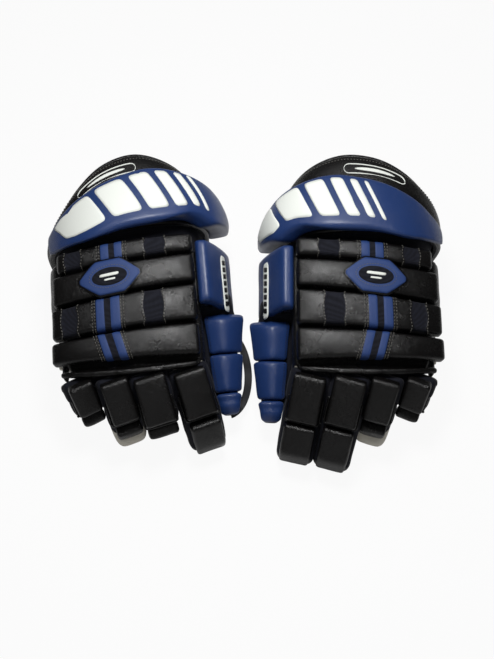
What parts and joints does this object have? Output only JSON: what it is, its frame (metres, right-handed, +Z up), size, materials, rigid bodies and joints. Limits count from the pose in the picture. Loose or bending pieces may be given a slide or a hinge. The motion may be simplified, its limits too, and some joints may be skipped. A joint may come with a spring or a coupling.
{
  "type": "ice hockey gloves",
  "caption": "Pair of padded ice hockey gloves with segmented back rolls, hinged finger and thumb stalls, flared cuffs and leather palms.",
  "frame": {"origin": "middle of the pair's footprint, on the surface it lies on", "axes": "+Z up, +Y from the fingers to the cuffs, +X from the right-hand glove to the left-hand glove"},
  "size_m": [0.4218, 0.3208, 0.137],
  "materials": {
    "navy_leather": "semi-gloss coated leather, fine grain",
    "black_leather": "satin coated leather, fine grain",
    "black_fabric": "knitted nylon and soft lining",
    "cream_leather": "matt palm leather",
    "grey_webbing": "woven strap"
  },
  "bodies": {
    "right_hand": {"right_palm": "cream_leather", "right_back_shell": "black_fabric", "right_side_roll": "navy_leather", "right_backhand_roll_1": "black_leather", "right_backhand_roll_2": "black_leather", "right_backhand_roll_3": "black_leather", "right_backhand_roll_4": "black_leather", "right_strap": "grey_webbing"},
    "right_cuff": {"right_cuff_liner": "black_fabric", "right_cuff_roll": "navy_leather"},
    "right_thumb": {"right_thumb_roll_base": "navy_leather", "right_thumb_roll_mid": "navy_leather", "right_thumb_stall": "black_fabric"},
    "right_thumb_end": {"right_thumb_roll_tip": "navy_leather"},
    "right_index": {"right_index_roll": "black_leather", "right_index_stall": "black_fabric"},
    "right_index_tip": {"right_index_tip_roll": "black_leather", "right_index_tip_stall": "cream_leather"},
    "right_middle": {"right_middle_roll": "black_leather", "right_middle_stall": "black_fabric"},
    "right_middle_tip": {"right_middle_tip_roll": "black_leather", "right_middle_tip_stall": "cream_leather"},
    "right_ring": {"right_ring_roll": "black_leather", "right_ring_stall": "black_fabric"},
    "right_ring_tip": {"right_ring_tip_roll": "black_leather", "right_ring_tip_stall": "cream_leather"},
    "right_pinky": {"right_pinky_roll": "black_leather", "right_pinky_stall": "black_fabric"},
    "right_pinky_tip": {"right_pinky_tip_roll": "black_leather", "right_pinky_tip_stall": "cream_leather"},
    "left_hand": {"left_palm": "cream_leather", "left_back_shell": "black_fabric", "left_side_roll": "navy_leather", "left_backhand_roll_1": "black_leather", "left_backhand_roll_2": "black_leather", "left_backhand_roll_3": "black_leather", "left_backhand_roll_4": "black_leather"},
    "left_cuff": {"left_cuff_liner": "black_fabric", "left_cuff_roll": "navy_leather"},
    "left_thumb": {"left_thumb_roll_base": "navy_leather", "left_thumb_roll_mid": "navy_leather", "left_thumb_stall": "black_fabric"},
    "left_thumb_end": {"left_thumb_roll_tip": "navy_leather"},
    "left_index": {"left_index_roll": "black_leather", "left_index_stall": "black_fabric"},
    "left_index_tip": {"left_index_tip_roll": "black_leather", "left_index_tip_stall": "cream_leather"},
    "left_middle": {"left_middle_roll": "black_leather", "left_middle_stall": "black_fabric"},
    "left_middle_tip": {"left_middle_tip_roll": "black_leather", "left_middle_tip_stall": "cream_leather"},
    "left_ring": {"left_ring_roll": "black_leather", "left_ring_stall": "black_fabric"},
    "left_ring_tip": {"left_ring_tip_roll": "black_leather", "left_ring_tip_stall": "cream_leather"},
    "left_pinky": {"left_pinky_roll": "black_leather", "left_pinky_stall": "black_fabric"},
    "left_pinky_tip": {"left_pinky_tip_roll": "black_leather", "left_pinky_tip_stall": "cream_leather"}
  },
  "joints": [
    {"name": "left_glove_lift", "type": "slide", "parent": "right_hand", "child": "left_hand", "axis": [0, 0, 1], "range_m": [0, 0.2]},
    {"name": "right_cuff_hinge", "type": "hinge", "parent": "right_hand", "child": "right_cuff", "pos_m": [-0.12116, 0.05365, 0.11], "axis": [0.9954, 0.0958, 0], "range_deg": [-12, 12], "stiffness_Nm_per_rad": 4},
    {"name": "right_thumb_hinge", "type": "hinge", "parent": "right_hand", "child": "right_thumb", "pos_m": [-0.02465, -0.00436, 0.06], "axis": [0.9954, 0.0958, 0], "range_deg": [-10, 12], "stiffness_Nm_per_rad": 1.5},
    {"name": "right_thumb_end_hinge", "type": "hinge", "parent": "right_thumb", "child": "right_thumb_end", "pos_m": [-0.01749, -0.07873, 0.03281], "axis": [0.9954, 0.0958, 0], "range_deg": [-8, 20], "stiffness_Nm_per_rad": 0.8},
    {"name": "right_index_knuckle", "type": "hinge", "parent": "right_hand", "child": "right_index", "pos_m": [-0.05381, -0.07197, 0.07211], "axis": [0.9367, 0.3502, 0], "range_deg": [-10, 18], "stiffness_Nm_per_rad": 1},
    {"name": "right_index_middle_joint", "type": "hinge", "parent": "right_index", "child": "right_index_tip", "pos_m": [-0.0397, -0.1097, 0.0479], "axis": [0.9367, 0.3502, 0], "range_deg": [-28, 30], "stiffness_Nm_per_rad": 0.6},
    {"name": "right_middle_knuckle", "type": "hinge", "parent": "right_hand", "child": "right_middle", "pos_m": [-0.09219, -0.08019, 0.07593], "axis": [0.9483, 0.3173, 0], "range_deg": [-10, 18], "stiffness_Nm_per_rad": 1},
    {"name": "right_middle_middle_joint", "type": "hinge", "parent": "right_middle", "child": "right_middle_tip", "pos_m": [-0.07901, -0.11961, 0.05193], "axis": [0.9483, 0.3173, 0], "range_deg": [-45, 10], "stiffness_Nm_per_rad": 0.6},
    {"name": "right_ring_knuckle", "type": "hinge", "parent": "right_hand", "child": "right_ring", "pos_m": [-0.12654, -0.08349, 0.07444], "axis": [0.9304, 0.3665, 0], "range_deg": [-10, 18], "stiffness_Nm_per_rad": 1},
    {"name": "right_ring_middle_joint", "type": "hinge", "parent": "right_ring", "child": "right_ring_tip", "pos_m": [-0.11379, -0.11586, 0.04916], "axis": [0.9304, 0.3665, 0], "range_deg": [-45, 15], "stiffness_Nm_per_rad": 0.6},
    {"name": "right_pinky_knuckle", "type": "hinge", "parent": "right_hand", "child": "right_pinky", "pos_m": [-0.16126, -0.08282, 0.06837], "axis": [0.887, 0.4617, 0], "range_deg": [-10, 18], "stiffness_Nm_per_rad": 1},
    {"name": "right_pinky_middle_joint", "type": "hinge", "parent": "right_pinky", "child": "right_pinky_tip", "pos_m": [-0.15126, -0.10202, 0.04346], "axis": [0.887, 0.4617, 0], "range_deg": [-45, 10], "stiffness_Nm_per_rad": 0.6},
    {"name": "left_cuff_hinge", "type": "hinge", "parent": "left_hand", "child": "left_cuff", "pos_m": [0.12248, 0.05399, 0.11], "axis": [1, -0.0087, 0], "range_deg": [-12, 12], "stiffness_Nm_per_rad": 4},
    {"name": "left_thumb_hinge", "type": "hinge", "parent": "left_hand", "child": "left_thumb", "pos_m": [0.0314, -0.01222, 0.06], "axis": [1, -0.0087, 0], "range_deg": [-10, 12], "stiffness_Nm_per_rad": 1.5},
    {"name": "left_thumb_end_hinge", "type": "hinge", "parent": "left_thumb", "child": "left_thumb_end", "pos_m": [0.03074, -0.08692, 0.03281], "axis": [1, -0.0087, 0], "range_deg": [-8, 20], "stiffness_Nm_per_rad": 0.8},
    {"name": "left_index_knuckle", "type": "hinge", "parent": "left_hand", "child": "left_index", "pos_m": [0.06633, -0.07703, 0.07211], "axis": [0.9724, -0.2334, 0], "range_deg": [-10, 18], "stiffness_Nm_per_rad": 1},
    {"name": "left_index_middle_joint", "type": "hinge", "parent": "left_index", "child": "left_index_tip", "pos_m": [0.05713, -0.11536, 0.04651], "axis": [0.9724, -0.2334, 0], "range_deg": [-8, 30], "stiffness_Nm_per_rad": 0.6},
    {"name": "left_middle_knuckle", "type": "hinge", "parent": "left_hand", "child": "left_middle", "pos_m": [0.10529, -0.08187, 0.07593], "axis": [0.9636, -0.2672, 0], "range_deg": [-10, 18], "stiffness_Nm_per_rad": 1},
    {"name": "left_middle_middle_joint", "type": "hinge", "parent": "left_middle", "child": "left_middle_tip", "pos_m": [0.09453, -0.12066, 0.04979], "axis": [0.9636, -0.2672, 0], "range_deg": [-9, 30], "stiffness_Nm_per_rad": 0.6},
    {"name": "left_ring_knuckle", "type": "hinge", "parent": "left_hand", "child": "left_ring", "pos_m": [0.13979, -0.08217, 0.07444], "axis": [0.9537, -0.3007, 0], "range_deg": [-10, 18], "stiffness_Nm_per_rad": 1},
    {"name": "left_ring_middle_joint", "type": "hinge", "parent": "left_ring", "child": "left_ring_tip", "pos_m": [0.12988, -0.11358, 0.0468], "axis": [0.9537, -0.3007, 0], "range_deg": [-45, 15], "stiffness_Nm_per_rad": 0.6},
    {"name": "left_pinky_knuckle", "type": "hinge", "parent": "left_hand", "child": "left_pinky", "pos_m": [0.17432, -0.07847, 0.06837], "axis": [0.9239, -0.3827, 0], "range_deg": [-10, 18], "stiffness_Nm_per_rad": 1},
    {"name": "left_pinky_middle_joint", "type": "hinge", "parent": "left_pinky", "child": "left_pinky_tip", "pos_m": [0.16638, -0.09766, 0.04272], "axis": [0.9239, -0.3827, 0], "range_deg": [-45, 10], "stiffness_Nm_per_rad": 0.6}
  ]
}
